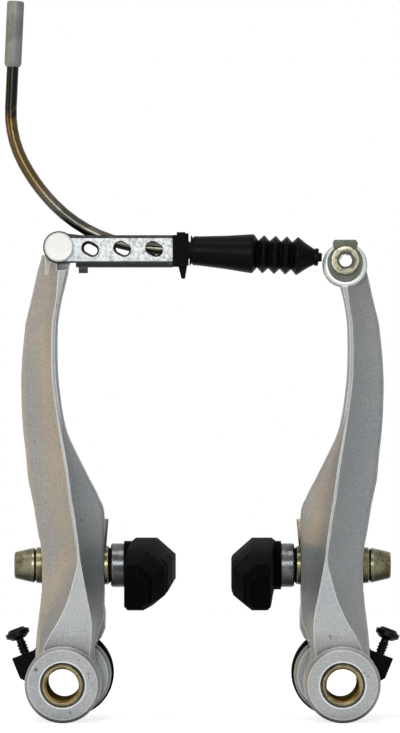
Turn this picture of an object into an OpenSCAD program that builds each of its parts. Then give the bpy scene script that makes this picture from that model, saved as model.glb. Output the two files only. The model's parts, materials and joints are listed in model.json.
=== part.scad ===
// Linear pull rim brake for a bicycle: two cast arms, pads, noodle, link and boot
// Millimetres. Origin: axis of the left pivot, at the rear face of its bush.
// X runs to the right arm, Y away from the viewer towards the bicycle, Z up the arms.

/* [Pivots] */
// Distance between the two pivot axes
pivot_gap = 69.8; // [60:0.1:90]
// Radius of the hole that takes the post of the bicycle
post_r = 4.03; // [3.9:0.01:4.2]
// Outer radius of the pivot bush
bush_r = 5.25; // [5:0.05:6]
// Length of the pivot bush
bush_len = 26; // [20:0.5:30]
// Radius of the round boss at the foot of an arm
boss_r = 9.5; // [8:0.1:11]
// Running gap between parts that turn on each other
run_gap = 0.05; // [0.01:0.01:0.1]

/* [Arm] */
// Rear face of the arm
arm_back = -7; // [-9:0.1:-5]
// Height of the middle of the pad slot
slot_z = 29.5; // [26:0.1:34]
// Depth of the middle of the pad slot
slot_y = -12.4; // [-14:0.1:-11]
// Width of the pad slot
slot_w = 6.5; // [6.2:0.1:7]
// Distance between the ends of the slot, measured between the arc centres
slot_run = 9.5; // [6:0.5:12]
// Inner seat of the arm, where the inner washers lie
seat_in = 10.25; // [9:0.05:12]
// Outer seat of the arm, where the outer washers lie
seat_out = -5.35; // [-7:0.05:-4]

/* [Cable line] */
// Depth of the cable line, shared by link, noodle, boot and anchor
cable_y = -15; // [-17:0.1:-13]
// Link pin, across
pin_x = -1; // [-3:0.1:1]
// Link pin, height
pin_z = 109.25; // [105:0.05:112]
// Outer radius of the noodle tube
noodle_r = 1.5; // [1.3:0.05:2.2]
// Outer radius of the ferrule on the noodle
ferrule_r = 2.15; // [2:0.05:3.3]
// Height of the anchor bolt
anchor_z = 106; // [103:0.1:108]

/* [Pads] */
// Radius of the rim that the pads follow
rim_r = 300; // [200:5:320]
// Sideways run of the pads, as a slope along their length
pad_skew = 0.04; // [-0.06:0.01:0.06]

/* [Springs] */
// Wire radius of a return spring
wire_r = 0.8; // [0.6:0.05:1]
// Mean radius of the spring coil
coil_r = 6.7; // [6.4:0.05:7]

/* [Render] */
// Node to draw, or all

/* [Hidden] */
$fn = 48;
fit_gap = 0.02;
boss_front = -25.5;
flange_front = -13;
flange_back = -5;
flange_r = 9.6;
flange_at = [2.3, 1.9];
holder_r = 10.9;
holder_at = [1.6, 2.1];
holder_back = -1;
recess_r = 7.9;
recess_front = -13.4;
stud_r = 3;
stud_gap = 0.05;
alu = [0.66, 0.66, 0.65];
steel = [0.62, 0.62, 0.60];
zinc = [0.55, 0.50, 0.38];
black = [0.10, 0.10, 0.10];

// Arm outline, one row per height:
// height, outer edge, inner edge, outer ridge, inner ridge,
// depth of outer edge, depth of ridge, depth of inner edge
arm_rows = [
    [1, -7.0, 8.9, -5.4, 6.4, -19.0, -22.4, -17.6],
    [7, -6.95, 7.7, -5.2, 6.6, -18.8, -23.4, -18.6],
    [11, -6.75, 8.3, -3.9, 7.1, -18.4, -24.3, -18.6],
    [16, -6.2, 10.0, -1.0, 7.2, -18.0, -24.2, -17.7],
    [21, -5.6, 10.25, 1.25, 6.3, -17.8, -23.9, -17.5],
    [26, -5.4, 10.25, 2.7, 5.3, -17.8, -23.6, -17.5],
    [31, -5.5, 10.25, 3.8, 4.4, -17.8, -23.2, -17.5],
    [36, -6.0, 10.25, 3.2, 3.8, -17.8, -23.0, -17.5],
    [41, -6.8, 10.25, 2.5, 3.1, -17.7, -22.8, -17.5],
    [43.5, -7.2, 10.05, 2.1, 2.7, -17.6, -22.7, -17.5],
    [46, -7.7, 9.0, 1.6, 2.2, -17.5, -22.6, -17.7],
    [51, -8.75, 6.5, 1.0, 1.6, -17.3, -22.4, -18.3],
    [57, -9.3, 3.5, 0.1, 0.7, -17.2, -22.1, -19.5],
    [63, -10.0, 0.8, -0.9, -0.4, -17.1, -21.8, -20.9],
    [69, -10.4, -0.5, -1.8, -1.4, -17.0, -21.4, -21.0],
    [78, -10.5, -1.5, -2.8, -2.4, -16.8, -21.0, -20.6],
    [90, -9.5, -1.5, -2.7, -2.4, -16.4, -20.5, -20.1],
    [96, -8.1, -0.6, -1.8, -1.4, -16.2, -20.2, -19.8],
    [100, -7.2, 0.4, -1.4, -1.0, -16.1, -20.1, -19.7],
    [103.5, -6.4, 1.2, -1.2, -0.8, -16.0, -20.0, -19.6],
    [107.4, -5.35, 2.0, -1.0, -0.6, -15.9, -19.9, -19.5]
];
arm_steps = 3;
arm_shoulder = 103.4;

// Depth added towards the anchor end of the right arm, whose top lies lower
anchor_face = -14.2;
anchor_drop = [[0, 0], [52, 0], [64, 0.8], [76, 2.6], [88, 4.6], [97, 6.1], [106, 6.4]];

function mix(a, b, t) = a + (b - a) * t;

// Smooth curve through four neighbouring values
function spline(a, b, c, d, t) = 0.5 * (2 * b + (c - a) * t
    + (2 * a - 5 * b + 4 * c - d) * t * t
    + (3 * b - a - 3 * c + d) * t * t * t);

function row_at(rows, i) = rows[max(0, min(len(rows) - 1, i))];

function smooth_rows(rows, steps) = concat(
    [for (i = [0:len(rows) - 2]) for (k = [0:steps - 1])
        [for (c = [0:len(rows[0]) - 1])
            c == 0 ? mix(rows[i][0], rows[i + 1][0], k / steps)
            : spline(row_at(rows, i - 1)[c], rows[i][c], rows[i + 1][c],
                row_at(rows, i + 2)[c], k / steps)]],
    [rows[len(rows) - 1]]);

// Point on a curve that leaves a towards c and arrives at b from c
function bend(a, c, b, t) = [mix(mix(a[0], c[0], t), mix(c[0], b[0], t), t),
    mix(mix(a[1], c[1], t), mix(c[1], b[1], t), t)];

// Closed outline of the arm at one height, seen from above
function arm_outline(r, drop, back) = let(
    outer = r[1],
    inner = r[2],
    edge_o = [outer + 0.9, r[5] - 0.45 + drop],
    ridge_o = [r[3], r[6] + drop],
    ridge_i = [r[4], r[6] + drop],
    edge_i = [inner - min(0.5, (inner - r[4]) * 0.4), r[7] - 0.3 + drop],
    turn_o = [mix(edge_o[0], ridge_o[0], 0.55), mix(edge_o[1], ridge_o[1], 0.28)],
    turn_i = [mix(ridge_i[0], edge_i[0], 0.38), mix(ridge_i[1], edge_i[1], 0.68)])
    concat(
        [[outer + 1, back], [outer + 0.3, back - 0.3], [outer, back - 1]],
        [[outer, r[5] + 0.8 + drop], [outer + 0.25, r[5] + drop]],
        [for (k = [0:5]) bend(edge_o, turn_o, ridge_o, k / 5)],
        [for (k = [0:4]) bend(ridge_i, turn_i, edge_i, k / 4)],
        [[inner - 0.1, r[7] + 0.1 + drop], [inner, r[7] + 0.7 + drop]],
        [[inner, back - 0.8], [inner - 0.25, back - 0.25], [inner - 0.8, back]]);

// Skin between outlines that all have the same number of points
module skin(rings) {
    n = len(rings[0]);
    m = len(rings);
    polyhedron(
        points = [for (ring = rings) for (p = ring) p],
        faces = concat(
            [[for (k = [0:n - 1]) k]],
            [for (i = [0:m - 2]) for (k = [0:n - 1]) for (half = [0, 1])
                half == 0
                ? [i * n + k, (i + 1) * n + k, i * n + (k + 1) % n]
                : [i * n + (k + 1) % n, (i + 1) * n + k, (i + 1) * n + (k + 1) % n]],
            [[for (k = [0:n - 1]) m * n - 1 - k]]),
        convexity = 6);
}

// Cylinder along Y from y0 to y1
module along_y(x, z, r, y0, y1, r2 = undef) {
    translate([x, y0, z])
        rotate([-90, 0, 0])
            cylinder(h = y1 - y0, r1 = r, r2 = is_undef(r2) ? r : r2);
}

// Cylinder along X from x0 to x1
module along_x(x0, x1, r, r2 = undef) {
    translate([x0, slot_y, slot_z])
        rotate([0, 90, 0])
            cylinder(h = x1 - x0, r1 = r, r2 = is_undef(r2) ? r : r2);
}

// Flat shape drawn in X and Z, from y0 to y1
module plate(y0, y1) {
    translate([0, y1, 0])
        rotate([90, 0, 0])
            linear_extrude(y1 - y0)
                children();
}

// Part of a ring around the left pivot, between two angles up from X
module pivot_sector(r_in, r_out, a0, a1, y0, y1) {
    translate([0, y1, 0])
        rotate([90, 0, 0])
            rotate([0, 0, a0])
                rotate_extrude(angle = a1 - a0)
                    translate([r_in, 0])
                        square([r_out - r_in, y1 - y0]);
}

// The right side is the left side seen in a mirror
module right_side() {
    translate([pivot_gap, 0, 0])
        mirror([1, 0, 0])
            children();
}

// Slot shape along X for the pad stud, also used for the seat
module slot_cut(x0, x1, r) {
    for (s = [-1, 1])
        translate([0, 0, s * slot_run / 2])
            along_x(x0, x1, r);
    translate([x0, slot_y - r, slot_z - slot_run / 2])
        cube([x1 - x0, 2 * r, slot_run]);
}

// Spring path numbers
leg_y = -6;
leg_top = [10.45, 41];
leg_foot = [coil_r, 0];
leg_len = norm(leg_top - leg_foot);
leg_lean = atan2(leg_top[0] - leg_foot[0], leg_top[1] - leg_foot[1]);
coil_pitch = 2.1;
pin_angle = 80;
pin_r = 9;
stop_pin_r = 1.3;
stop_pin_z = 37.5;
stop_pin_x = leg_foot[0] + (leg_top[0] - leg_foot[0]) * stop_pin_z / leg_top[1]
    - wire_r - stop_pin_r - 0.05;

// Channel for the spring leg through the flange of the boss
module leg_channel() {
    channel_r = wire_r + 0.45;
    translate([leg_foot[0], leg_y, leg_foot[1]])
        rotate([0, leg_lean, 0])
            cylinder(h = leg_len + 4, r = channel_r);
    translate([leg_foot[0], leg_y, leg_foot[1]])
        rotate([0, leg_lean, 0])
            translate([-channel_r, 0, 0])
                cube([2 * channel_r, 2, leg_len + 4]);
}

// Boss with its rear flange, and the web that joins the flange to the arm
module boss_solid() {
    along_y(0, 0, boss_r, boss_front + 0.8, flange_back);
    along_y(0, 0, boss_r - 0.8, boss_front, boss_front + 0.8, boss_r);
    along_y(flange_at[0], flange_at[1], flange_r, flange_front + 0.8, flange_back);
    along_y(flange_at[0], flange_at[1], flange_r - 0.8, flange_front, flange_front + 0.8,
        flange_r);
    plate(flange_front, arm_back)
        polygon([[5, 8], [9.5, 11.2], [10.5, 13.5], [10.5, 18], [10.2, 19.5], [5, 22]]);
}

module boss_cut() {
    along_y(0, 0, bush_r + run_gap, boss_front - 1, 1);
    along_y(0, 0, bush_r + run_gap + 0.5, boss_front - 0.1, boss_front + 0.4, bush_r + run_gap);
    along_y(0, 0, recess_r, recess_front, 1);
    pivot_sector(recess_r - 1, 10.1, 48, 100, recess_front, 1);
    pivot_sector(recess_r - 1, 9.2, 90, 125, recess_front, flange_back - 3);
    leg_channel();
}

module arm_body(drops) {
    rings = [for (r = smooth_rows(arm_rows, arm_steps))
        [for (p = arm_outline(r, lookup(r[0], drops), arm_back)) [p[0], p[1], r[0]]]];
    skin(rings);
}

module pad_holes() {
    slot_cut(-20, 20, slot_w / 2);
    slot_cut(-20, seat_out, 5.2);
}

no_drop = [[0, 0], [200, 0]];
tongue_front = -17.5;
tongue_back = -12.5;
tongue_r = 3.7;
link_end_r = 4;
link_in = 2.6;
link_sheet = 1.5;
link_pin_r = 2;

module arm_left() {
    color(alu)
        difference() {
            union() {
                difference() {
                    arm_body(no_drop);
                    along_y(pin_x, pin_z, link_end_r + 0.15, -30, tongue_front);
                    along_y(pin_x, pin_z, link_end_r + 1.6, tongue_back, 0);
                    translate([pin_x - 0.6, -30, arm_shoulder])
                        cube([20, 30, 10]);
                }
                boss_solid();
                along_y(pin_x, pin_z, tongue_r, tongue_front, tongue_back);
                plate(tongue_front, tongue_back)
                    polygon([[pin_x - tongue_r + 0.1, pin_z], [-4.4, 102.5], [1, 102.5],
                        [pin_x + tongue_r - 0.1, pin_z]]);
            }
            boss_cut();
            pad_holes();
            along_y(pin_x, pin_z, link_pin_r + fit_gap, -30, 0);
            along_y(stop_pin_x, stop_pin_z, stop_pin_r, -10, 0);
        }
}

anchor_x = -0.85;
anchor_end_r = 5.6;
anchor_end_z = 104.9;
anchor_bolt_r = 2.5;

module arm_right() {
    color(alu)
        right_side()
            difference() {
                union() {
                    intersection() {
                        arm_body(anchor_drop);
                        translate([-20, -30, 0])
                            cube([40, 30, anchor_end_z - 1]);
                    }
                    boss_solid();
                    along_y(anchor_x, anchor_end_z, anchor_end_r, anchor_face + 0.7, arm_back);
                    along_y(anchor_x, anchor_end_z, anchor_end_r - 0.7, anchor_face,
                        anchor_face + 0.7, anchor_end_r);
                }
                boss_cut();
                pad_holes();
                along_y(anchor_x, anchor_z, anchor_bolt_r, -30, 0);
                along_y(stop_pin_x, stop_pin_z, stop_pin_r, -10, 0);
            }
}

module bush() {
    color(zinc)
        difference() {
            union() {
                along_y(0, 0, bush_r, -bush_len + 0.4, 0);
                along_y(0, 0, bush_r - 0.4, -bush_len, -bush_len + 0.4, bush_r);
            }
            along_y(0, 0, post_r, -bush_len - 1, 1);
            along_y(0, 0, post_r + 0.6, -bush_len - 0.1, -bush_len + 0.5, post_r);
        }
}

module bush_left() {
    bush();
}

module bush_right() {
    right_side()
        bush();
}

// Wire path: points paired with a vector that points away from the pivot axis
function out_at(a) = [cos(a), 0, sin(a)];

coil_angle = 720 + 360 - pin_angle - acos(coil_r / pin_r);
coil_steps = 42;
knee_r = 1.5;

spring_path = let(
    lean = [cos(leg_lean), 0, -sin(leg_lean)],
    end_y = leg_y - coil_pitch * coil_angle / 360,
    knee = pin_r * out_at(pin_angle) + [0, end_y, 0],
    last = coil_r * out_at(-coil_angle) + [0, end_y, 0],
    run = (knee - last) / norm(knee - last))
    concat(
        [[[leg_top[0], leg_y, leg_top[1]], lean],
            [[mix(leg_foot[0], leg_top[0], 0.5), leg_y, leg_top[1] / 2], lean]],
        [for (i = [0:coil_steps]) let(a = -coil_angle * i / coil_steps)
            [coil_r * out_at(a) + [0, leg_y + coil_pitch * a / 360, 0], out_at(a)]],
        [for (b = [0:30:90])
            [knee - knee_r * run + knee_r * [sin(b) * run[0], 1 - cos(b), sin(b) * run[2]],
                out_at(pin_angle + 35 * (1 - b / 90))]],
        [[[knee[0], 4, knee[2]], out_at(pin_angle)]]);

function unit(v) = v / norm(v);

// Ring of points around one point of the wire path
function wire_ring(path, i, sides) = let(
    before = path[max(0, i - 1)][0],
    after = path[min(len(path) - 1, i + 1)][0],
    way = unit(after - before),
    aside = unit(path[i][1] - way * (path[i][1] * way)),
    across = cross(way, aside))
    [for (k = [0:sides - 1])
        path[i][0] + wire_r * (cos(360 * k / sides) * aside + sin(360 * k / sides) * across)];

module spring() {
    color(steel)
        skin([for (i = [0:len(spring_path) - 1]) wire_ring(spring_path, i, 10)]);
}

module spring_left() {
    spring();
}

module spring_right() {
    right_side()
        spring();
}

// Screw axis, from the head into the ear of the spring holder
screw_y = -3;
screw_head = [-11.85, 11.95];
screw_tip = [-8.05, 1.94];
screw_r = 1;
screw_tilt = atan2(screw_tip[0] - screw_head[0], screw_tip[1] - screw_head[1]);
screw_len = norm(screw_tip - screw_head);

module on_screw_axis() {
    translate([screw_head[0], screw_y, screw_head[1]])
        rotate([0, screw_tilt, 0])
            children();
}

module spring_holder() {
    color(black)
        difference() {
            plate(flange_back, holder_back)
                union() {
                    translate(holder_at)
                        circle(r = holder_r);
                    polygon([[-13.2, 5.6], [-11.2, 0.7], [-6, -2.2], [0, 0], [-2, 10],
                        [-8, 7.6]]);
                }
            along_y(0, 0, bush_r + run_gap, -10, 5);
            pivot_sector(recess_r - 0.3, 10.1, 48, 100, -10, 5);
            leg_room();
            on_screw_axis()
                translate([0, 0, -2])
                    cylinder(h = screw_len + 4, r = screw_r + run_gap);
        }
}

// Rear wire of the coil and the foot of the leg need this room in the holder
module leg_room() {
    along_y(0, 0, recess_r, flange_back - 1, flange_back + 0.3);
}

module spring_holder_left() {
    spring_holder();
}

module spring_holder_right() {
    right_side()
        spring_holder();
}

module stop_pin() {
    color(steel)
        along_y(stop_pin_x, stop_pin_z, stop_pin_r, -10, -4.6);
}

module stop_pin_left() {
    stop_pin();
}

module stop_pin_right() {
    right_side()
        stop_pin();
}

module tension_screw() {
    color(black)
        on_screw_axis()
            difference() {
                union() {
                    cylinder(h = screw_len, r = screw_r);
                    translate([0, 0, -0.6])
                        cylinder(h = 1.1, r = 3.1);
                    translate([0, 0, 0.5])
                        cylinder(h = 1, r1 = 3.1, r2 = 1.7);
                    translate([0, 0, -1.3])
                        cylinder(h = 0.7, r1 = 1.9, r2 = 2.6);
                }
                for (a = [0, 90])
                    rotate([0, 0, a])
                        translate([-1.5, -0.25, -2])
                            cube([3, 0.5, 1.6]);
            }
}

module tension_screw_left() {
    tension_screw();
}

module tension_screw_right() {
    right_side()
        tension_screw();
}

// Pad clamp, from the pad outwards through the arm
ball_r = 6;
inner_ball_x = 7.6;
inner_flat = seat_in + 0.05;
cup_in_start = 11.9;
cup_in_end = 15.15;
outer_flat = seat_out - 0.05;
outer_cup_end = -6.8;
outer_ball_x = -11.5;
outer_dome_end = -7.9;
nut_start = -7.95;
nut_end = -12.3;

module ball(x, r) {
    translate([x, slot_y, slot_z])
        sphere(r = r);
}

// Ring turned around the stud axis, flat at x0 and rounded by the ball at ball_x
module dome(x0, ball_x, rim) {
    hole = stud_r + stud_gap;
    a0 = asin(rim / ball_r);
    a1 = asin(hole / ball_r);
    translate([0, slot_y, slot_z])
        rotate([0, 90, 0])
            rotate_extrude()
                polygon(concat(
                    [[hole, x0], [rim, x0]],
                    [for (k = [0:6]) let(a = mix(a0, a1, k / 6))
                        [ball_r * sin(a), ball_x + ball_r * cos(a)]]));
}

module inner_dome_washer() {
    color(zinc)
        dome(inner_flat, inner_ball_x, 4.85);
}

module inner_cup_washer() {
    color(zinc)
        difference() {
            union() {
                along_x(cup_in_start, cup_in_start + 0.4, 5.1, 5.5);
                along_x(cup_in_start + 0.4, cup_in_end, 5.5);
            }
            ball(inner_ball_x, ball_r + 0.02);
            along_x(0, 20, stud_r + stud_gap);
        }
}

module outer_cup_washer() {
    color(zinc)
        difference() {
            along_x(outer_cup_end, outer_flat, 4.45, 4.6);
            ball(outer_ball_x, ball_r + 0.02);
            along_x(-20, 0, stud_r + stud_gap);
        }
}

module outer_dome_washer() {
    color(zinc)
        dome(outer_dome_end, outer_ball_x, 4.35);
}

module pad_nut() {
    socket = 5;
    color(zinc)
        difference() {
            union() {
                along_x(nut_end + 0.3, nut_start, 3.35, 4.3);
                along_x(nut_end, nut_end + 0.3, 3.05, 3.35);
            }
            along_x(-9.9, 0, stud_r + stud_gap);
            translate([nut_end - 1, slot_y, slot_z])
                rotate([0, 90, 0])
                    cylinder(h = 5, r = socket / sqrt(3), $fn = 6);
        }
}

pad_base = 15.2;
pad_back = 16.9;
stud_end = -9.7;
stud_head = 21;

module pad_stud() {
    color(steel) {
        along_x(stud_end, stud_head - 1.5, stud_r);
        along_x(stud_head - 1.5, stud_head, 5);
    }
}

// Pad outline by distance from the stud: distance, face, top, bottom, chamfer
pad_rows = [
    [-33, 22.4, 2.2, -6.5, 1.8],
    [-31, 23.7, 4.2, -7.1, 2.6],
    [-22, 26.4, 6.2, -7.4, 3.5],
    [-12, 27.3, 6.6, -7.1, 3.9],
    [0, 27.6, 6.7, -6.9, 3.9],
    [12, 27.4, 6.3, -6.7, 3.5],
    [22, 27.2, 5.4, -6.6, 3.2],
    [28, 25.6, 4.0, -6.2, 2.6],
    [30, 24.0, 2.6, -5.4, 1.8]
];
pad_steps = 2;
pad_tip = 2.6;

function pad_sink(d) = -d * d / (2 * rim_r) + d * tan(pad_tip);

function pad_outline(r) = let(
    d = r[0],
    face = r[1],
    up = r[2],
    low = r[3],
    c = r[4])
    [for (p = [[pad_back, low + 0.8], [pad_back, up - 0.8], [pad_back + 1, up],
        [face - 1.3 * c, up], [face, up - 1.15 * c], [face, low + 0.7 * c],
        [face - 0.85 * c, low], [pad_back + 0.8, low]])
        p];

module pad(skew) {
    rings = [for (r = smooth_rows(pad_rows, pad_steps))
        [for (p = pad_outline(r))
            [p[0] + skew * r[0], slot_y + r[0], slot_z + p[1] + pad_sink(r[0])]]];
    groove = 1.2;
    color(black)
        difference() {
            union() {
                skin(rings);
                along_x(pad_base, pad_back + 2, 6.1);
            }
            along_x(0, stud_head - 1.5, stud_r + fit_gap);
            along_x(stud_head - 1.5 - fit_gap, stud_head + fit_gap, 5 + fit_gap);
            for (d = [-19, -7, 7, 19])
                translate([pad_face_at(d) - groove + skew * d, slot_y + d - 0.8, slot_z - 12])
                    cube([6, 1.6, 24]);
        }
}

function pad_face_at(d) = lookup(d, [for (r = pad_rows) [r[0], r[1]]]);

module pad_left() {
    pad(pad_skew);
}

module pad_right() {
    right_side()
        pad(-pad_skew);
}

module pad_stud_left() {
    pad_stud();
}

module pad_stud_right() {
    right_side()
        pad_stud();
}

module pad_nut_left() {
    pad_nut();
}

module pad_nut_right() {
    right_side()
        pad_nut();
}

module inner_dome_washer_left() {
    inner_dome_washer();
}

module inner_dome_washer_right() {
    right_side()
        inner_dome_washer();
}

module inner_cup_washer_left() {
    inner_cup_washer();
}

module inner_cup_washer_right() {
    right_side()
        inner_cup_washer();
}

module outer_cup_washer_left() {
    outer_cup_washer();
}

module outer_cup_washer_right() {
    right_side()
        outer_cup_washer();
}

module outer_dome_washer_left() {
    outer_dome_washer();
}

module outer_dome_washer_right() {
    right_side()
        outer_dome_washer();
}

// Link: one folded sheet, two side plates and an end wall with a keyhole
link_low = 104.25;
link_top = 112.25;
link_end = 27.4;
link_hole_z = 108.8;
link_holes = [6.8, 14.8, 22.8];
front_plate = cable_y - link_in - link_sheet;
rear_plate = cable_y + link_in;

module link_side(y0, hole_r, hole_run) {
    plate(y0, y0 + link_sheet)
        difference() {
            union() {
                translate([pin_x, pin_z])
                    circle(r = link_end_r);
                polygon([[pin_x, pin_z + link_end_r - 0.35], [4.5, link_top], [link_end, link_top],
                    [link_end, link_low + 1.2], [3.2, link_low + 1.2],
                    [pin_x + 1, pin_z - link_end_r + 0.13]]);
            }
            translate([pin_x, pin_z])
                circle(r = link_pin_r + run_gap);
            for (x = link_holes)
                translate([x, link_hole_z])
                    rotate(-28)
                        union() {
                            for (s = [-0.5, 0.5])
                                translate([s * hole_run, 0])
                                    circle(r = hole_r);
                            square([hole_run, 2 * hole_r], center = true);
                        }
        }
}

// Lower edge of a side plate, rolled inwards
module link_curl(x0, x1, y, way) {
    roll = 1.2;
    translate([x0, y, link_low + roll])
        rotate([90, 0, 90])
            linear_extrude(x1 - x0)
                polygon(concat(
                    [for (a = [0:15:75]) [way * roll * (1 - cos(a)), -roll * sin(a)]],
                    [[way * (roll + 0.5), -roll], [way * (roll + 0.5), -roll + 0.9],
                        [way * link_sheet, 0]]));
}

module link() {
    color(steel)
        difference() {
            union() {
                link_side(front_plate, 1.75, 1.1);
                link_side(rear_plate, 1.1, 1.3);
                link_curl(3.2, link_end, front_plate, 1);
                link_curl(3.2, link_end, rear_plate + link_sheet, -1);
                translate([link_end - link_sheet, front_plate, link_low + 0.5])
                    cube([link_sheet, rear_plate + link_sheet - front_plate,
                        link_top - link_low - 0.5]);
                translate([3.9, front_plate + 0.5, link_low - 1.5])
                    cube([2.3, 1.4, 2.4]);
            }
            along_noodle_end()
                cylinder(h = 30, r = 2.45, center = true);
            translate([link_end - 5, cable_y - 0.95, 108])
                cube([10, 1.9, 8]);
        }
}

// Black plastic keeper that closes the keyhole end of the link
module link_clip() {
    clip_start = link_end + 0.02;
    clip_end = 31.4;
    color(black)
        difference() {
            union() {
                translate([clip_start, -19.4, 104.4])
                    cube([1.1, 8.8, 7.9]);
                translate([clip_start + 1, -19.4, 104.4])
                    cube([clip_end - clip_start - 1.8, 8.8, 8.6]);
                translate([clip_end - 0.8, -18.9, 104.7])
                    cube([0.8, 7.8, 8]);
                plate(-16.4, -13.6)
                    polygon([[28.7, 105], [31.1, 105], [30.5, 101.4], [29.6, 101.4]]);
            }
            along_noodle_end()
                cylinder(h = 30, r = 2.45, center = true);
        }
}

module link_pin() {
    rivet_front = front_plate - run_gap;
    rivet_back = rear_plate + link_sheet + run_gap;
    color(steel) {
        along_y(pin_x, pin_z, link_pin_r, rivet_front - 0.5, rivet_back + 0.5);
        along_y(pin_x, pin_z, 3.65, rivet_front - 1, rivet_front);
        along_y(pin_x, pin_z, 3.3, rivet_front - 1.4, rivet_front - 1, 3.65);
        along_y(pin_x, pin_z, 3.2, rivet_back, rivet_back + 0.9);
    }
}

// Noodle centre line: start, heading, then length or radius and turn
ferrule_top = [-11.95, 171];
noodle_heading = -92.6;
ferrule_len = 16.5;
socket_len = 9.5;
socket_r = 1.65;
tube_from = 10;
noodle_way = [cos(noodle_heading), sin(noodle_heading)];
noodle_start = ferrule_top + tube_from * noodle_way;
noodle_run = 16.8;
noodle_bends = [[26.5, 30.8], [46.5, 16.2], [35.4, 27.3], [44.1, 15.3]];
noodle_tail = 9;

// Where the last straight of the noodle starts, and its heading
function walk(p, h, i) = i == len(noodle_bends) ? [p, h]
    : let(radius = noodle_bends[i][0], turn = noodle_bends[i][1])
        walk(p + radius * [sin(h + turn) - sin(h), cos(h) - cos(h + turn)],
            h + turn, i + 1);
noodle_bend_start = noodle_start + noodle_run * [cos(noodle_heading), sin(noodle_heading)];
noodle_last = walk(noodle_bend_start, noodle_heading, 0);
end_heading = noodle_last[1];
end_start = noodle_last[0];

// Children drawn along Z lie along the straight end of the noodle, from its start
module along_noodle_end() {
    translate([end_start[0], cable_y, end_start[1]])
        rotate([0, -end_heading, 0])
            rotate([0, 90, 0])
                children();
}

// Stations along the noodle: x, z and heading
function heading_at(i) = i == 0 ? noodle_heading : heading_at(i - 1) + noodle_bends[i - 1][1];
function bend_at(i) = i == 0 ? noodle_bend_start
    : bend_at(i - 1) + noodle_bends[i - 1][0] * [sin(heading_at(i)) - sin(heading_at(i - 1)),
        cos(heading_at(i - 1)) - cos(heading_at(i))];
bend_steps = 5;
noodle_stations = concat(
    [[noodle_start, noodle_heading]],
    [for (i = [0:len(noodle_bends) - 1]) for (k = [0:bend_steps - 1])
        let(h = heading_at(i), t = h + noodle_bends[i][1] * k / bend_steps)
            [bend_at(i) + noodle_bends[i][0] * [sin(t) - sin(h), cos(h) - cos(t)], t]],
    [[end_start, end_heading],
        [end_start + noodle_tail * [cos(end_heading), sin(end_heading)], end_heading]]);

function noodle_ring(s, r, sides) = [for (k = [0:sides - 1])
    let(a = 360 * k / sides)
        [s[0][0] - r * cos(a) * sin(s[1]), cable_y + r * sin(a), s[0][1] + r * cos(a) * cos(s[1])]];

// Hollow tube along the noodle
module noodle_pipe(r_out, r_in) {
    sides = 16;
    m = len(noodle_stations);
    rings = concat([for (s = noodle_stations) noodle_ring(s, r_out, sides)],
        [for (i = [m - 1:-1:0]) noodle_ring(noodle_stations[i], r_in, sides)]);
    polyhedron(
        points = [for (ring = rings) for (p = ring) p],
        faces = [for (i = [0:2 * m - 1]) for (k = [0:sides - 1]) for (half = [0, 1])
            let(j = (i + 1) % (2 * m), l = (k + 1) % sides)
                half == 0
                ? [i * sides + k, i * sides + l, j * sides + k]
                : [i * sides + l, j * sides + l, j * sides + k]],
        convexity = 8);
}

module noodle_tube() {
    color(steel)
        noodle_pipe(noodle_r, 1.05);
}

module noodle_liner() {
    color(black)
        noodle_pipe(1.02, 0.8);
}

module noodle_ferrule() {
    color(steel)
        translate([ferrule_top[0], cable_y, ferrule_top[1]])
            rotate([0, 90 - noodle_heading, 0])
                difference() {
                    union() {
                        cylinder(h = 0.4, r1 = ferrule_r - 0.3, r2 = ferrule_r);
                        translate([0, 0, 0.4])
                            cylinder(h = ferrule_len - 1.2, r = ferrule_r);
                        translate([0, 0, ferrule_len - 0.8])
                            cylinder(h = 0.8, r1 = ferrule_r, r2 = noodle_r + 0.25);
                    }
                    translate([0, 0, -1])
                        cylinder(h = socket_len + 1, r = socket_r);
                    translate([0, 0, socket_len - 1])
                        cylinder(h = 3, r = 1.05);
                    translate([0, 0, tube_from])
                        cylinder(h = 30, r = noodle_r);
                }
}

// Hard nose on the end of the noodle, seated in the keyhole and inside the boot
module noodle_tip() {
    nose_from = 1.6;
    color(steel)
        along_noodle_end()
            difference() {
                union() {
                    translate([0, 0, nose_from])
                        cylinder(h = 6.4, r = 2.4);
                    translate([0, 0, nose_from + 6.4])
                        cylinder(h = 3, r1 = 2.2, r2 = 1.4);
                }
                cylinder(h = noodle_tail, r = noodle_r);
                cylinder(h = 30, r = 0.85);
            }
}

// Boot profile by distance along its axis: distance, radius
boot_from = 31.75;
boot_peaks = [18.4, 21.3, 24.1, 26.9];
boot_valleys = [17, 19.8, 22.7, 25.5];
peak_r = 4.75;
valley_r = 3.45;
boot_skin = 0.85;
boot_outer = concat(
    [[0, 3.7], [0.35, 3.7], [0.45, 3.35], [0.75, 3.35], [0.85, 3.65], [2.5, 3.7],
        [9, 4.2], [13, 4.65], [15.6, 4.92], [15.9, 4.8]],
    [for (i = [0:3]) for (p = [[boot_valleys[i], valley_r], [boot_peaks[i] - 0.12, peak_r],
        [boot_peaks[i] + 0.12, peak_r]]) p],
    [[29, 3.3], [31.2, 1.95], [31.3, 2.2], [32.2, 2.2], [32.3, 1.15], [33.1, 1.05]]);

module boot() {
    color(black)
        translate([boot_from, cable_y, end_start[1] + (boot_from - end_start[0]) * tan(end_heading)])
            rotate([0, 90 - end_heading, 0])
                rotate_extrude()
                    polygon(concat(
                        [for (p = boot_outer) [p[1], p[0]]],
                        [[0.6, 33.1], [0.6, 31.2]],
                        [for (i = [len(boot_outer) - 6:-1:5])
                            [max(0.6, boot_outer[i][1] - boot_skin), boot_outer[i][0]]],
                        [[2.42, 2.5], [2.42, 0]]));
}

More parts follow.
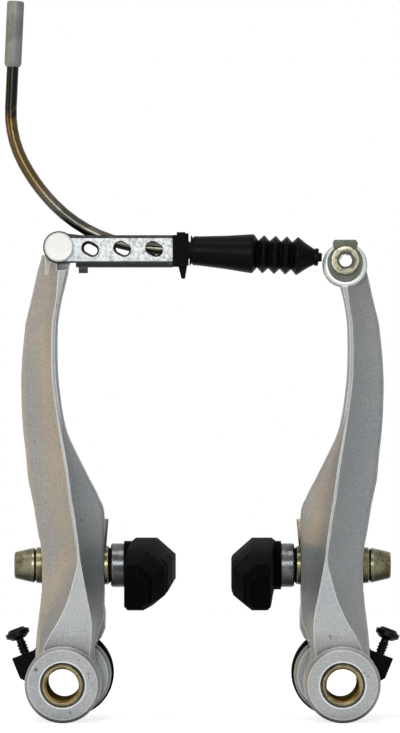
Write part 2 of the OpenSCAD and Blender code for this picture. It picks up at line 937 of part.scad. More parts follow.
module anchor_washer() {
    washer_back = anchor_face;
    color(zinc)
        right_side()
            difference() {
                union() {
                    along_y(anchor_x, 105.45, 4.5, washer_back - 2, washer_back);
                    plate(washer_back - 2, washer_back - 1)
                        polygon([[anchor_x - 2.9, 108.6], [anchor_x - 3.2, 110.4], [anchor_x - 2.6, 111.2],
                            [anchor_x + 2.7, 111.2], [anchor_x + 3.2, 110.4], [anchor_x + 2.8, 108.6]]);
                }
                along_y(anchor_x, anchor_z, anchor_bolt_r, -30, 0);
            }
}

module anchor_bolt() {
    head_back = anchor_face - 2;
    socket = 3.2;
    color(zinc)
        right_side()
            difference() {
                union() {
                    along_y(anchor_x, anchor_z, anchor_bolt_r, head_back - 1, arm_back + 1.2);
                    along_y(anchor_x, anchor_z, 3.6, head_back - 0.5, head_back);
                    along_y(anchor_x, anchor_z, 3.15, head_back - 3.6, head_back);
                    along_y(anchor_x, anchor_z, 2.7, head_back - 4, head_back - 3.6, 3.15);
                }
                translate([anchor_x, head_back - 5, anchor_z])
                    rotate([-90, 0, 0])
                        cylinder(h = 3.5, r = socket / sqrt(3), $fn = 6);
            }
}

arm_left();
arm_right();
bush_left();
bush_right();
spring_left();
spring_right();
spring_holder_left();
spring_holder_right();
stop_pin_left();
stop_pin_right();
tension_screw_left();
tension_screw_right();
inner_dome_washer_left();
inner_dome_washer_right();
inner_cup_washer_left();
inner_cup_washer_right();
outer_cup_washer_left();
outer_cup_washer_right();
outer_dome_washer_left();
outer_dome_washer_right();
pad_nut_left();
pad_nut_right();
pad_stud_left();
pad_stud_right();
pad_left();
pad_right();
link();
link_clip();
link_pin();
noodle_tube();
noodle_liner();
noodle_ferrule();
noodle_tip();
boot();
anchor_washer();
anchor_bolt();
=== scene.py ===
import json
import math

import bpy
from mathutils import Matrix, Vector


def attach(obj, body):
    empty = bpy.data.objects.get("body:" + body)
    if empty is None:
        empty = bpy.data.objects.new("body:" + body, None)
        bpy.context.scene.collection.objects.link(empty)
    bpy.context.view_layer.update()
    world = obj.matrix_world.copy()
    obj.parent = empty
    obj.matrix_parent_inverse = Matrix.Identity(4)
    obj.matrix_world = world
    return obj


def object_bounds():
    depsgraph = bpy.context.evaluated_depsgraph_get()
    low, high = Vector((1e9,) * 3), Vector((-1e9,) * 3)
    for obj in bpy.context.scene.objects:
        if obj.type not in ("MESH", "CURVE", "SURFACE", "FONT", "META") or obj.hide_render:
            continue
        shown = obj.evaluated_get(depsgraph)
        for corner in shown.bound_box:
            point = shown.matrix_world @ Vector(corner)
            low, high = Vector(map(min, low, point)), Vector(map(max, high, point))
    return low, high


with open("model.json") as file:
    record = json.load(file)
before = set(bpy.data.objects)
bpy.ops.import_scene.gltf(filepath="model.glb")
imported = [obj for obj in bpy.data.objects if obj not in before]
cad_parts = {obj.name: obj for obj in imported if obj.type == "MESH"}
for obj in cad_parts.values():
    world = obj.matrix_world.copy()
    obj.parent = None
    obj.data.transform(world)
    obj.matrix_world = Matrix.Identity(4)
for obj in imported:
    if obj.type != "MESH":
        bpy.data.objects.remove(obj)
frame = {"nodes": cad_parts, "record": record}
cad_low, cad_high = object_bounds()

MM = 0.001

# Places on the part, in mm. X runs to the right arm, Y away from the viewer, Z up.
PIVOT_GAP = 69.8
FOOT_FACE_Y = -25.5
BORE_WALL_R = 4.35
# Ring on the foot face around each bore, painted bright as a highlight
BORE_EDGE_R = (5.6, 5.9)
# Small dents and nicks on the foot of the left arm: across, up, radius, depth of tone
FOOT_MARKS = (
    (-6.6, 3.9, 0.32, 0.95),
    (4.1, 6.3, 0.16, 0.5),
    (6.4, 2.9, 0.18, 0.7),
    (7.3, 0.4, 0.16, 0.45),
    (7.8, -0.9, 0.14, 0.35),
    (-5.6, -4.6, 0.2, 0.4),
    (-4.9, -5.9, 0.16, 0.35),
)
# Far end of the right arm: its centre, the ring on it painted bright as a highlight, and the anchor
# bolt
ANCHOR_END = (70.65, 104.9)
ANCHOR_RING_R = (4.4, 5.35)
ANCHOR_RING_Y = (-13.5, -13.2)
ANCHOR_BOLT = (70.65, 106.0)
# Link: rolled lower edge, upper edge and inside of the fold, all painted dark as shade, and its
# pin, with painted shade and grime around it
LINK_ROLL_Z = 105.75
LINK_RIM_Z = 111.45
LINK_INNER_Y = (-17.7, -12.2)
LINK_PIN = (-1.0, -18.3, 109.25)
LINK_PIN_SHADE_R = 4.15
# Guide tube, in metres: where bare metal turns brown, and brown turns nearly black
TUBE_BROWN_Z = (0.118, 0.132)
TUBE_BLACK_Z = (0.138, 0.147)

# Edge colour of plated parts, partly wear and partly painted highlight
WORN_AND_HIGHLIT_PLATE = (0.86, 0.84, 0.76)


# Node helpers. A value or mask is an output socket, a tone is a colour socket.
def start_material(name):
    """A new material with one Principled shader, and the object's own coordinates."""
    mat = bpy.data.materials.new(name)
    mat.use_nodes = True
    tree = mat.node_tree
    tree.nodes.clear()
    out = tree.nodes.new("ShaderNodeOutputMaterial")
    body = tree.nodes.new("ShaderNodeBsdfPrincipled")
    tree.links.new(body.outputs["BSDF"], out.inputs["Surface"])
    coords = tree.nodes.new("ShaderNodeTexCoord")
    return mat, tree, body, coords.outputs["Object"]


def noise(tree, coords, scale, detail, rough, distortion=0.0):
    node = tree.nodes.new("ShaderNodeTexNoise")
    node.inputs["Scale"].default_value = scale
    node.inputs["Detail"].default_value = detail
    node.inputs["Roughness"].default_value = rough
    node.inputs["Distortion"].default_value = distortion
    tree.links.new(coords, node.inputs["Vector"])
    return node.outputs["Fac"]


def spread(tree, value, low, high, to_low=0.0, to_high=1.0):
    """A smooth step from to_low at low to to_high at high."""
    node = tree.nodes.new("ShaderNodeMapRange")
    node.interpolation_type = "SMOOTHSTEP"
    tree.links.new(value, node.inputs["Value"])
    node.inputs["From Min"].default_value = low
    node.inputs["From Max"].default_value = high
    node.inputs["To Min"].default_value = to_low
    node.inputs["To Max"].default_value = to_high
    return node.outputs["Result"]


def blend_colour(tree, mask, first, second):
    """The first colour where the mask is zero, the second where it is one."""
    node = tree.nodes.new("ShaderNodeMix")
    node.data_type = "RGBA"
    tree.links.new(mask, node.inputs[0])
    for socket, value in ((node.inputs[6], first), (node.inputs[7], second)):
        if isinstance(value, tuple):
            socket.default_value = (*value, 1.0)
        else:
            tree.links.new(value, socket)
    return node.outputs[2]


def arithmetic(tree, operation, first, second):
    node = tree.nodes.new("ShaderNodeMath")
    node.operation = operation
    for socket, value in zip(node.inputs, (first, second)):
        if isinstance(value, float):
            socket.default_value = value
        else:
            tree.links.new(value, socket)
    return node.outputs[0]


def vector_arithmetic(tree, operation, first, second, output):
    node = tree.nodes.new("ShaderNodeVectorMath")
    node.operation = operation
    tree.links.new(first, node.inputs[0])
    if isinstance(second, tuple):
        node.inputs[1].default_value = second
    else:
        tree.links.new(second, node.inputs[1])
    return node.outputs[output]


def axis_value(tree, coords, axis):
    split = tree.nodes.new("ShaderNodeSeparateXYZ")
    tree.links.new(coords, split.inputs[0])
    return split.outputs[axis]


def rounded_normal(tree, radius):
    """The normal as it would be with the edges rounded to a radius."""
    node = tree.nodes.new("ShaderNodeBevel")
    node.samples = 4
    node.inputs["Radius"].default_value = radius
    return node.outputs["Normal"]


def surface_normal(tree, body, height, strength, distance, edge):
    """Bumps from a height, over edges rounded to a radius."""
    bump = tree.nodes.new("ShaderNodeBump")
    bump.inputs["Strength"].default_value = strength
    bump.inputs["Distance"].default_value = distance
    tree.links.new(height, bump.inputs["Height"])
    tree.links.new(rounded_normal(tree, edge), bump.inputs["Normal"])
    tree.links.new(bump.outputs["Normal"], body.inputs["Normal"])


# Masks by place
def near_point(tree, coords, point, radius, soft):
    """One inside a ball around a point, zero outside; all in mm."""
    centre = tuple(value * MM for value in point)
    reach = vector_arithmetic(tree, "DISTANCE", coords, centre, "Value")
    return spread(tree, reach, radius * MM, (radius + soft) * MM, 1.0, 0.0)


def axis_distance(tree, coords, across, up):
    """Distance in metres from a line along Y, which is given in mm."""
    flat = vector_arithmetic(tree, "MULTIPLY", coords, (1.0, 0.0, 1.0), 0)
    return vector_arithmetic(tree, "DISTANCE", flat, (across * MM, 0.0, up * MM), "Value")


def pivot_distance(tree, coords):
    """Distance from the nearer of the two pivot axes."""
    left = axis_distance(tree, coords, 0.0, 0.0)
    right = axis_distance(tree, coords, PIVOT_GAP, 0.0)
    return arithmetic(tree, "MINIMUM", left, right)


def below(tree, value, low, high, share=1.0):
    """A share up to a length in mm, falling to zero at a greater one."""
    return spread(tree, value, low * MM, high * MM, share, 0.0)


def above(tree, value, low, high):
    """Zero up to a length in mm, rising to one at a greater one."""
    return spread(tree, value, low * MM, high * MM)


def band(tree, value, low, high, soft=0.12):
    """One between two lengths in mm, zero outside."""
    rise = above(tree, value, low - soft, low)
    fall = below(tree, value, high, high + soft)
    return arithmetic(tree, "MULTIPLY", rise, fall)


# Wear and painted highlight along edges, and painted shade in gaps and underneath, over a tone
def worn_and_highlit_edges(tree, tone, radius, share, colour):
    """A colour along sharp edges, partly wear and partly painted highlight, found by comparing the
    rounded and the flat normal.
    """
    rounded = rounded_normal(tree, radius)
    geometry = tree.nodes.new("ShaderNodeNewGeometry")
    same = vector_arithmetic(tree, "DOT_PRODUCT", rounded, geometry.outputs["Normal"], "Value")
    edge = spread(tree, arithmetic(tree, "SUBTRACT", 1.0, same), 0.012, 0.12)
    return blend_colour(tree, arithmetic(tree, "MULTIPLY", edge, share), tone, colour)


def painted_gap_shade(tree, tone, reach, low, high, share, colour):
    """Painted shade: a colour in gaps and corners, found with ambient occlusion over a reach in
    metres.
    """
    shade = tree.nodes.new("ShaderNodeAmbientOcclusion")
    shade.samples = 6
    shade.inputs["Distance"].default_value = reach
    closed = spread(tree, shade.outputs["AO"], low, high, share, 0.0)
    return blend_colour(tree, closed, tone, colour)


def painted_underside_shade(tree, tone, share, colour):
    """Painted shade: a colour where the surface faces down."""
    geometry = tree.nodes.new("ShaderNodeNewGeometry")
    facing_up = axis_value(tree, geometry.outputs["Normal"], "Z")
    return blend_colour(tree, spread(tree, facing_up, -0.85, -0.15, share, 0.0), tone, colour)


def silver_casting():
    """Silver painted casting: fine grain, nicks, painted shade in gaps and underneath, ridges made
    bright partly as wear and partly as painted highlight, and rings painted bright as highlights
    around the bores and on the anchor end.
    """
    mat, tree, body, at = start_material("silver_arm")
    deep = axis_value(tree, at, "Y")
    broad = noise(tree, at, 38.0, 3.0, 0.55)
    grain = noise(tree, at, 2400.0, 3.0, 0.65)
    sparkle = noise(tree, at, 5200.0, 1.0, 0.5)
    light_and_dark = spread(tree, broad, 0.38, 0.62)
    tone = blend_colour(tree, light_and_dark, (0.265, 0.275, 0.285), (0.315, 0.317, 0.315))
    tone = blend_colour(tree, spread(tree, grain, 0.32, 0.62, 0.45, 0.0), tone, (0.16, 0.165, 0.17))
    tone = blend_colour(tree, spread(tree, sparkle, 0.58, 0.72, 0.0, 0.6), tone, (0.62, 0.63, 0.63))
    # Painted shade in gaps and corners
    tone = painted_gap_shade(tree, tone, 0.006, 0.25, 0.88, 0.9, (0.035, 0.037, 0.038))

    dents = spread(tree, noise(tree, at, 520.0, 2.0, 0.5), 0.715, 0.735, 0.0, 0.5)
    for across, up, radius, depth in FOOT_MARKS:
        mark = near_point(tree, at, (across, FOOT_FACE_Y, up), radius, 0.2)
        dents = arithmetic(tree, "MAXIMUM", dents, arithmetic(tree, "MULTIPLY", mark, depth))
    tone = blend_colour(tree, dents, tone, (0.05, 0.05, 0.06))
    # Ridges and edges lightened, partly wear and partly painted highlight
    tone = worn_and_highlit_edges(tree, tone, 0.0004, 0.85, (0.94, 0.95, 0.94))
    # Painted shade where the casting faces down
    tone = painted_underside_shade(tree, tone, 0.7, (0.02, 0.02, 0.022))

    # Painted highlight: a bright ring around each bore on the foot face
    foot_face = below(tree, deep, FOOT_FACE_Y + 0.35, FOOT_FACE_Y + 0.6, 0.5)
    bore_edge = band(tree, pivot_distance(tree, at), *BORE_EDGE_R)
    bore_edge = arithmetic(tree, "MULTIPLY", bore_edge, foot_face)
    tone = blend_colour(tree, bore_edge, tone, (0.88, 0.89, 0.89))
    # Painted highlight: a bright ring on the chamfered rim of the anchor end
    ring = band(tree, axis_distance(tree, at, *ANCHOR_END), *ANCHOR_RING_R)
    ring = arithmetic(tree, "MULTIPLY", ring, below(tree, deep, *ANCHOR_RING_Y, 0.85))
    tone = blend_colour(tree, ring, tone, (0.92, 0.93, 0.93))

    tree.links.new(tone, body.inputs["Base Color"])
    body.inputs["Metallic"].default_value = 0.4
    tree.links.new(spread(tree, grain, 0.3, 0.7, 0.42, 0.56), body.inputs["Roughness"])
    surface_normal(tree, body, grain, 0.35, 0.00006, 0.00022)
    return mat


def zinc_plate(name, first, second, stain, rough):
    """Yellowish plated steel with stains, painted shade in the gaps and underneath, and bright
    edges that are partly wear and partly painted highlight.
    """
    mat, tree, body, at = start_material(name)
    broad = noise(tree, at, 240.0, 4.0, 0.6, 0.6)
    fine = noise(tree, at, 1800.0, 3.0, 0.6)
    tone = blend_colour(tree, spread(tree, broad, 0.38, 0.62), first, second)
    tone = blend_colour(tree, spread(tree, fine, 0.55, 0.72, 0.0, 0.65), tone, stain)
    # Painted shade in gaps and corners
    tone = painted_gap_shade(tree, tone, 0.0012, 0.35, 0.9, 0.92, (0.012, 0.011, 0.009))
    # Painted shade where the part faces down
    tone = painted_underside_shade(tree, tone, 0.92, (0.006, 0.005, 0.004))
    # Edges lightened, partly wear and partly painted highlight
    tone = worn_and_highlit_edges(tree, tone, 0.0002, 0.6, WORN_AND_HIGHLIT_PLATE)
    tree.links.new(tone, body.inputs["Base Color"])
    body.inputs["Metallic"].default_value = 0.85
    tree.links.new(spread(tree, broad, 0.3, 0.7, rough, rough + 0.16), body.inputs["Roughness"])
    surface_normal(tree, body, fine, 0.25, 0.00005, 0.0002)
    return mat


def bush_plate():
    """Yellow plated steel, dull and brown with old grease on the wall of the bore."""
    mat, tree, body, at = start_material("bush_steel")
    broad = noise(tree, at, 240.0, 4.0, 0.6, 0.6)
    fine = noise(tree, at, 1600.0, 3.0, 0.6)
    light_and_dark = spread(tree, broad, 0.38, 0.62)
    tone = blend_colour(tree, light_and_dark, (0.085, 0.065, 0.026), (0.17, 0.145, 0.075))
    tone = blend_colour(tree, spread(tree, fine, 0.55, 0.72, 0.0, 0.6), tone, (0.08, 0.055, 0.02))
    thick_and_thin = spread(tree, broad, 0.4, 0.6)
    grease = blend_colour(tree, thick_and_thin, (0.16, 0.095, 0.018), (0.42, 0.27, 0.075))
    wall = below(tree, pivot_distance(tree, at), BORE_WALL_R, BORE_WALL_R + 0.1)
    tone = blend_colour(tree, wall, tone, grease)
    # Edges lightened, partly wear and partly painted highlight
    tone = worn_and_highlit_edges(tree, tone, 0.0002, 0.6, WORN_AND_HIGHLIT_PLATE)
    tree.links.new(tone, body.inputs["Base Color"])
    tree.links.new(spread(tree, wall, 0.0, 1.0, 0.95, 0.0), body.inputs["Metallic"])
    body.inputs["Specular IOR Level"].default_value = 0.0
    tree.links.new(spread(tree, wall, 0.0, 1.0, 0.26, 0.7), body.inputs["Roughness"])
    surface_normal(tree, body, fine, 0.25, 0.00005, 0.0002)
    return mat


def bolt_plate():
    """Anchor bolt: socket painted bright as a reflection, in a ring painted dark as shade, olive
    plating with a pale patchy band around it.
    """
    mat, tree, body, at = start_material("bolt_steel")
    fine = noise(tree, at, 900.0, 3.0, 0.6)
    reach = axis_distance(tree, at, *ANCHOR_BOLT)
    stained = spread(tree, fine, 0.42, 0.6)
    tone = blend_colour(tree, stained, (0.05, 0.042, 0.02), (0.30, 0.25, 0.15))
    patchy = spread(tree, fine, 0.3, 0.5, 0.4)
    # A pale patchy band around the bolt
    pale_band = arithmetic(tree, "MULTIPLY", band(tree, reach, 2.75, 3.3), patchy)
    tone = blend_colour(tree, pale_band, tone, (0.62, 0.60, 0.50))
    # Painted shade: a dark ring around the socket
    tone = blend_colour(tree, band(tree, reach, 1.75, 2.1, 0.2), tone, (0.015, 0.012, 0.008))
    # Painted reflection: the socket made bright
    tone = blend_colour(tree, below(tree, reach, 1.5, 1.7), tone, (0.70, 0.70, 0.66))
    tree.links.new(tone, body.inputs["Base Color"])
    body.inputs["Metallic"].default_value = 0.5
    tree.links.new(spread(tree, fine, 0.3, 0.7, 0.3, 0.45), body.inputs["Roughness"])
    surface_normal(tree, body, fine, 0.25, 0.00005, 0.0002)
    return mat


def tube_plate():
    """Guide tube: nearly black below the ferrule, brown in the bend, bare metal at the link."""
    mat, tree, body, at = start_material("dark_chrome")
    streaks = noise(tree, at, 160.0, 3.0, 0.55, 0.8)
    uneven = spread(tree, streaks, 0.35, 0.65, -0.004, 0.004)
    up = arithmetic(tree, "ADD", axis_value(tree, at, "Z"), uneven)
    light_and_dark = spread(tree, streaks, 0.42, 0.60)
    tone = blend_colour(tree, light_and_dark, (0.06, 0.058, 0.048), (0.13, 0.12, 0.095))
    tone = blend_colour(tree, spread(tree, up, *TUBE_BROWN_Z), tone, (0.085, 0.06, 0.026))
    tone = blend_colour(tree, spread(tree, up, *TUBE_BLACK_Z), tone, (0.014, 0.0135, 0.012))
    # Painted shade where the tube faces down
    tone = painted_underside_shade(tree, tone, 0.8, (0.008, 0.0075, 0.006))
    tree.links.new(tone, body.inputs["Base Color"])
    body.inputs["Metallic"].default_value = 1.0
    tree.links.new(spread(tree, streaks, 0.3, 0.7, 0.2, 0.3), body.inputs["Roughness"])
    surface_normal(tree, body, streaks, 0.1, 0.00003, 0.00015)
    return mat


def mottled_sheet():
    """Galvanised sheet with flakes and stains, with painted shade along its edges and inside its
    fold, and painted shade and grime around its pin.
    """
    mat, tree, body, at = start_material("link_steel")
    cells = tree.nodes.new("ShaderNodeTexVoronoi")
    cells.inputs["Scale"].default_value = 1500.0
    tree.links.new(at, cells.inputs["Vector"])
    flakes = spread(tree, cells.outputs["Distance"], 0.1, 0.7)
    patches = noise(tree, at, 950.0, 4.0, 0.65, 0.5)
    tone = blend_colour(tree, flakes, (0.58, 0.60, 0.63), (0.84, 0.86, 0.88))
    tone = blend_colour(tree, spread(tree, patches, 0.5, 0.66, 0.0, 0.75), tone, (0.27, 0.30, 0.35))

    across, deep, up = (axis_value(tree, at, axis) for axis in "XYZ")
    fold_front, fold_back = LINK_INNER_Y
    # Painted shade along the rolled lower edge and along the upper edge
    roll = below(tree, up, LINK_ROLL_Z - 0.1, LINK_ROLL_Z + 0.1)
    rim = above(tree, up, LINK_RIM_Z - 0.05, LINK_RIM_Z + 0.1)
    # Painted shade on the inside of the fold
    inside = arithmetic(
        tree,
        "MULTIPLY",
        above(tree, deep, fold_front - 0.3, fold_front),
        below(tree, deep, fold_back, fold_back + 0.2),
    )
    # Around the pin: partly grime, partly painted shade
    around_pin = arithmetic(
        tree,
        "MULTIPLY",
        near_point(tree, at, LINK_PIN, LINK_PIN_SHADE_R, 0.1),
        below(tree, across, -1.0, 2.4),
    )
    dark = roll
    for mask in (rim, inside, around_pin):
        dark = arithmetic(tree, "MAXIMUM", dark, mask)
    tone = blend_colour(tree, arithmetic(tree, "MULTIPLY", dark, 0.97), tone, (0.01, 0.01, 0.012))

    tree.links.new(tone, body.inputs["Base Color"])
    body.inputs["Metallic"].default_value = 0.1
    tree.links.new(spread(tree, patches, 0.35, 0.65, 0.36, 0.5), body.inputs["Roughness"])
    body.inputs["Specular IOR Level"].default_value = 0.15
    surface_normal(tree, body, patches, 0.25, 0.00005, 0.0002)
    return mat


def polished(name, first, second, rough, metal, gap_shade_share):
    """Smooth metal with faint streaks and some painted shade in the gaps."""
    mat, tree, body, at = start_material(name)
    streaks = noise(tree, at, 120.0, 3.0, 0.55, 0.8)
    fine = noise(tree, at, 1500.0, 2.0, 0.5)
    tone = blend_colour(tree, spread(tree, streaks, 0.42, 0.60), first, second)
    # Painted shade in gaps and corners
    tone = painted_gap_shade(tree, tone, 0.001, 0.3, 0.85, gap_shade_share, (0.015, 0.015, 0.014))
    tree.links.new(tone, body.inputs["Base Color"])
    body.inputs["Metallic"].default_value = metal
    tree.links.new(spread(tree, fine, 0.3, 0.7, rough, rough + 0.1), body.inputs["Roughness"])
    surface_normal(tree, body, fine, 0.12, 0.00003, 0.00015)
    return mat


def black_moulding(name, dark, dust, rough, grain_scale, grain_depth, shine):
    """Black rubber, plastic or blackened steel, with a little dust and paler edges."""
    mat, tree, body, at = start_material(name)
    broad = noise(tree, at, 90.0, 4.0, 0.6)
    grain = noise(tree, at, grain_scale, 3.0, 0.6)
    tone = blend_colour(tree, spread(tree, broad, 0.48, 0.75, 0.0, 0.5), dark, dust)
    tone = blend_colour(tree, spread(tree, grain, 0.55, 0.8, 0.0, 0.35), tone, dust)
    # Edges lightened, partly wear and partly painted highlight
    tone = worn_and_highlit_edges(tree, tone, 0.00022, 0.35, (0.05, 0.049, 0.047))
    tree.links.new(tone, body.inputs["Base Color"])
    body.inputs["Specular IOR Level"].default_value = shine
    tree.links.new(spread(tree, broad, 0.3, 0.7, rough, rough + 0.15), body.inputs["Roughness"])
    surface_normal(tree, body, grain, 0.4, grain_depth, 0.0002)
    return mat


# First tone, second tone, stain, roughness
ZINC_FINISHES = {
    "zinc_steel": ((0.09, 0.08, 0.035), (0.20, 0.185, 0.11), (0.014, 0.01, 0.005), 0.18),
    "nut_steel": ((0.075, 0.066, 0.028), (0.19, 0.178, 0.115), (0.016, 0.012, 0.004), 0.18),
    "washer_steel": ((0.034, 0.039, 0.028), (0.07, 0.073, 0.055), (0.008, 0.007, 0.004), 0.3),
    "cup_steel": ((0.055, 0.057, 0.06), (0.13, 0.133, 0.137), (0.012, 0.012, 0.012), 0.2),
}
# First tone, second tone, roughness, metallic, painted shade in gaps
POLISHED_FINISHES = {
    "bright_steel": ((0.82, 0.82, 0.82), (0.88, 0.88, 0.88), 0.42, 0.1, 0.6),
    "spring_steel": ((0.20, 0.20, 0.195), (0.30, 0.295, 0.28), 0.30, 1.0, 0.8),
    "grey_ferrule": ((0.17, 0.177, 0.17), (0.25, 0.258, 0.25), 0.42, 0.1, 0.8),
}
# Tone, dust, roughness, scale of the grain, its depth in metres, specular level
BLACK_FINISHES = {
    "black_rubber": (
        (0.0015, 0.0015, 0.0015), (0.005, 0.0047, 0.0045), 0.6, 1500.0, 0.00008, 0.015,
    ),
    "black_boot": (
        (0.0015, 0.0015, 0.002), (0.004, 0.004, 0.005), 0.3, 900.0, 0.00003, 0.05,
    ),
    "black_plastic": (
        (0.0015, 0.0015, 0.002), (0.005, 0.005, 0.0055), 0.38, 1200.0, 0.00005, 0.03,
    ),
    "black_steel": (
        (0.0015, 0.0015, 0.0015), (0.006, 0.0057, 0.005), 0.28, 1300.0, 0.00004, 0.1,
    ),
}
MATERIALS = {
    "silver_arm": silver_casting(),
    "bush_steel": bush_plate(),
    "link_steel": mottled_sheet(),
    "dark_chrome": tube_plate(),
    "bolt_steel": bolt_plate(),
}
for maker, finishes in (
    (zinc_plate, ZINC_FINISHES),
    (polished, POLISHED_FINISHES),
    (black_moulding, BLACK_FINISHES),
):
    for name, values in finishes.items():
        MATERIALS[name] = maker(name, *values)

SLOT_OF = {part["node"]: part["material_slot"] for part in frame["record"]["subparts"]}
# Finish of the nodes that don't take their slot's
FINISH = {
    "bush_left": "bush_steel",
    "bush_right": "bush_steel",
    "pad_nut_left": "nut_steel",
    "pad_nut_right": "nut_steel",
    "inner_cup_washer_left": "cup_steel",
    "inner_cup_washer_right": "cup_steel",
    "anchor_washer": "washer_steel",
    "anchor_bolt": "bolt_steel",
}
# Sharpest angle in degrees that is shaded smooth
SMOOTH_BELOW = {"arm_left": 11.5, "arm_right": 11.5, "pad_left": 9.0, "pad_right": 9.0}
USUAL_SMOOTH_BELOW = 28.0


def smooth_look(obj, angle):
    """Smooth shading up to an angle, with weld and edge split modifiers and every face set smooth.
    """
    weld = obj.modifiers.new("weld", "WELD")
    weld.merge_threshold = 0.002 * MM
    split = obj.modifiers.new("split", "EDGE_SPLIT")
    split.use_edge_sharp = False
    split.split_angle = angle
    for polygon in obj.data.polygons:
        polygon.use_smooth = True


for name, node in frame["nodes"].items():
    node.data.materials.clear()
    node.data.materials.append(MATERIALS[FINISH.get(name, SLOT_OF[name])])
    smooth_look(node, math.radians(SMOOTH_BELOW.get(name, USUAL_SMOOTH_BELOW)))


# Added detail: the threads of the tension screws, between the head and the ear of the holder
SCREW_HEAD = Vector((-11.85, -3.0, 11.95)) * MM
SCREW_WAY = Vector((3.8, 0.0, -10.01)).normalized()
THREAD_REACH = (2.15, 5.4)
THREAD_CORE = 0.95
THREAD_CREST = 1.28
THREAD_PITCH = 0.8
STEPS_PER_TURN = 20


def new_piece(name, verts, faces, slot, body):
    mesh = bpy.data.meshes.new(name)
    mesh.from_pydata(verts, [], faces)
    mesh.materials.append(MATERIALS[slot])
    for polygon in mesh.polygons:
        polygon.use_smooth = True
    obj = bpy.data.objects.new(name, mesh)
    bpy.context.scene.collection.objects.link(obj)
    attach(obj, body)


def thread(name, start, end, slot, body):
    """A screw thread wound around the line from start to end, with a rounded crest."""
    core, crest, pitch = THREAD_CORE * MM, THREAD_CREST * MM, THREAD_PITCH * MM
    flank = core + (crest - core) * 0.55
    # Place along the thread in shares of the pitch, and radius
    profile = (
        (-0.48, core),
        (-0.3, flank),
        (-0.12, crest),
        (0.12, crest),
        (0.3, flank),
        (0.48, core),
    )
    line = end - start
    along = line.normalized()
    aside = along.orthogonal().normalized()
    across = along.cross(aside)
    steps = round(line.length / pitch * STEPS_PER_TURN)
    verts = []
    for step in range(steps + 1):
        angle = 2 * math.pi * step / STEPS_PER_TURN
        out = aside * math.cos(angle) + across * math.sin(angle)
        half_turns_in = min(step, steps - step) / STEPS_PER_TURN * 2
        fade = min(1.0, half_turns_in)
        for offset, radius in profile:
            reach = core + (radius - core) * fade
            place = line.length * step / steps + offset * pitch * fade
            verts.append(start + along * place + out * reach)
    width = len(profile)
    faces = []
    for step in range(steps):
        for corner in range(step * width, step * width + width - 1):
            faces.append((corner, corner + 1, corner + 1 + width, corner + width))
    new_piece(name, verts, faces, slot, body)


def mirrored(point):
    return Vector((PIVOT_GAP * MM - point.x, point.y, point.z))


thread_ends = [SCREW_HEAD + SCREW_WAY * reach * MM for reach in THREAD_REACH]
thread("screw_thread_left", *thread_ends, "black_steel", "left_screw")
thread("screw_thread_right", *map(mirrored, thread_ends), "black_steel", "right_screw")


# Stage: a white floor, three lamps and a plain room
FLOOR_CENTRE = (0.034, 0.0)
FLOOR_HALF = 0.6
FLOOR_BELOW_PART = 0.0001
FLOOR_TONE = (0.85, 0.85, 0.85, 1.0)
FLOOR_GLOW = 0.8
WHITE = (1.0, 1.0, 1.0, 1.0)

LAMP_TARGET = Vector((0.034, -0.01, 0.08))
# Name, place, diameter in metres, power in watts, colour
LAMPS = (
    ("front_lamp", (-0.10, -1.40, 0.36), 0.5, 8.9, (0.91, 0.975, 1.0)),
    ("top_lamp", (-0.15, -0.45, 1.2), 0.5, 4.5, (1.0, 1.0, 1.0)),
    ("side_lamp", (-1.3, -0.55, 0.1), 0.4, 3.9, (1.0, 0.54, 0.05)),
)
ROOM_LEFT = (0.70, 0.54, 0.26)
ROOM_RIGHT = (0.34, 0.37, 0.39)
ROOM_BELOW = (0.04, 0.04, 0.04)
ROOM_STRENGTH = 0.14

CAMERA_PLACE = (0.03425, -1.5195, 0.0794)
CAMERA_LENS = 294.7
CAMERA_SENSOR = 36.0


def choose_when_seen(tree, unseen, seen, target):
    """One shader for rays from the camera, from gloss and through glass, another for the rest."""
    path = tree.nodes.new("ShaderNodeLightPath")
    camera_ray, glossy_ray, transmission_ray = (
        path.outputs[kind] for kind in ("Is Camera Ray", "Is Glossy Ray", "Is Transmission Ray")
    )
    direct = arithmetic(tree, "MAXIMUM", camera_ray, glossy_ray)
    direct = arithmetic(tree, "MAXIMUM", direct, transmission_ray)
    choose = tree.nodes.new("ShaderNodeMixShader")
    tree.links.new(direct, choose.inputs[0])
    tree.links.new(unseen, choose.inputs[1])
    tree.links.new(seen, choose.inputs[2])
    tree.links.new(choose.outputs["Shader"], target)


def white_floor():
    """A pale floor that shows as white, and still takes the object's soft shadow."""
    mat, tree, body, _ = start_material("floor_white")
    body.inputs["Base Color"].default_value = FLOOR_TONE
    body.inputs["Roughness"].default_value = 0.9
    glow = tree.nodes.new("ShaderNodeEmission")
    glow.inputs["Color"].default_value = WHITE
    glow.inputs["Strength"].default_value = FLOOR_GLOW
    both = tree.nodes.new("ShaderNodeAddShader")
    tree.links.new(body.outputs["BSDF"], both.inputs[0])
    tree.links.new(glow.outputs["Emission"], both.inputs[1])
    surface = next(node for node in tree.nodes if node.type == "OUTPUT_MATERIAL").inputs["Surface"]
    choose_when_seen(tree, body.outputs["BSDF"], both.outputs["Shader"], surface)
    return mat


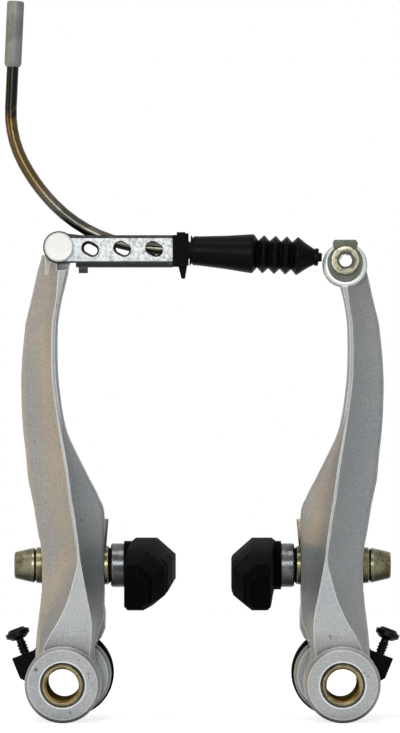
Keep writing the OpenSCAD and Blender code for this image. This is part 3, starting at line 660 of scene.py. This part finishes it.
def lay_floor():
    """The level surface that the feet of the arms stand on."""
    x, y = FLOOR_CENTRE
    up = cad_low[2] - FLOOR_BELOW_PART
    signs = ((-1, -1), (1, -1), (1, 1), (-1, 1))
    corners = [(x + a * FLOOR_HALF, y + b * FLOOR_HALF, up) for a, b in signs]
    mesh = bpy.data.meshes.new("floor")
    mesh.from_pydata(corners, [], [(0, 1, 2, 3)])
    mesh.materials.append(white_floor())
    obj = bpy.data.objects.new("floor", mesh)
    bpy.context.scene.collection.objects.link(obj)


def hang_lamp(name, place, size, power, colour):
    data = bpy.data.lights.new(name, "AREA")
    data.shape = "DISK"
    data.size = size
    data.energy = power
    data.color = colour
    obj = bpy.data.objects.new(name, data)
    obj.location = place
    obj.rotation_mode = "QUATERNION"
    obj.rotation_quaternion = (LAMP_TARGET - Vector(place)).to_track_quat("-Z", "Y")
    bpy.context.scene.collection.objects.link(obj)


def fill_room():
    """Soft light from all around, warm on the left, cool on the right and dark below."""
    world = bpy.data.worlds.new("studio")
    bpy.context.scene.world = world
    world.use_nodes = True
    tree = world.node_tree
    tree.nodes.clear()
    out = tree.nodes.new("ShaderNodeOutputWorld")
    way = tree.nodes.new("ShaderNodeTexCoord").outputs["Generated"]
    rightwards = spread(tree, axis_value(tree, way, "X"), -0.8, 0.5)
    downwards = spread(tree, axis_value(tree, way, "Z"), -0.7, 0.3, 0.8, 0.0)
    room = tree.nodes.new("ShaderNodeBackground")
    tone = blend_colour(tree, rightwards, ROOM_LEFT, ROOM_RIGHT)
    tone = blend_colour(tree, downwards, tone, ROOM_BELOW)
    tree.links.new(tone, room.inputs["Color"])
    room.inputs["Strength"].default_value = ROOM_STRENGTH
    backdrop = tree.nodes.new("ShaderNodeBackground")
    backdrop.inputs["Color"].default_value = WHITE
    backdrop.inputs["Strength"].default_value = 1.0
    choose_when_seen(
        tree,
        room.outputs["Background"],
        backdrop.outputs["Background"],
        out.inputs["Surface"],
    )


def place_camera():
    data = bpy.data.cameras.new("camera")
    data.lens = CAMERA_LENS
    data.sensor_width = CAMERA_SENSOR
    data.clip_end = 20.0
    camera = bpy.data.objects.new("camera", data)
    camera.location = CAMERA_PLACE
    camera.rotation_euler = (math.radians(90), 0.0, 0.0)
    bpy.context.scene.collection.objects.link(camera)
    bpy.context.scene.camera = camera


lay_floor()
for lamp in LAMPS:
    hang_lamp(*lamp)
fill_room()
place_camera()
bpy.context.scene.view_settings.view_transform = "Standard"
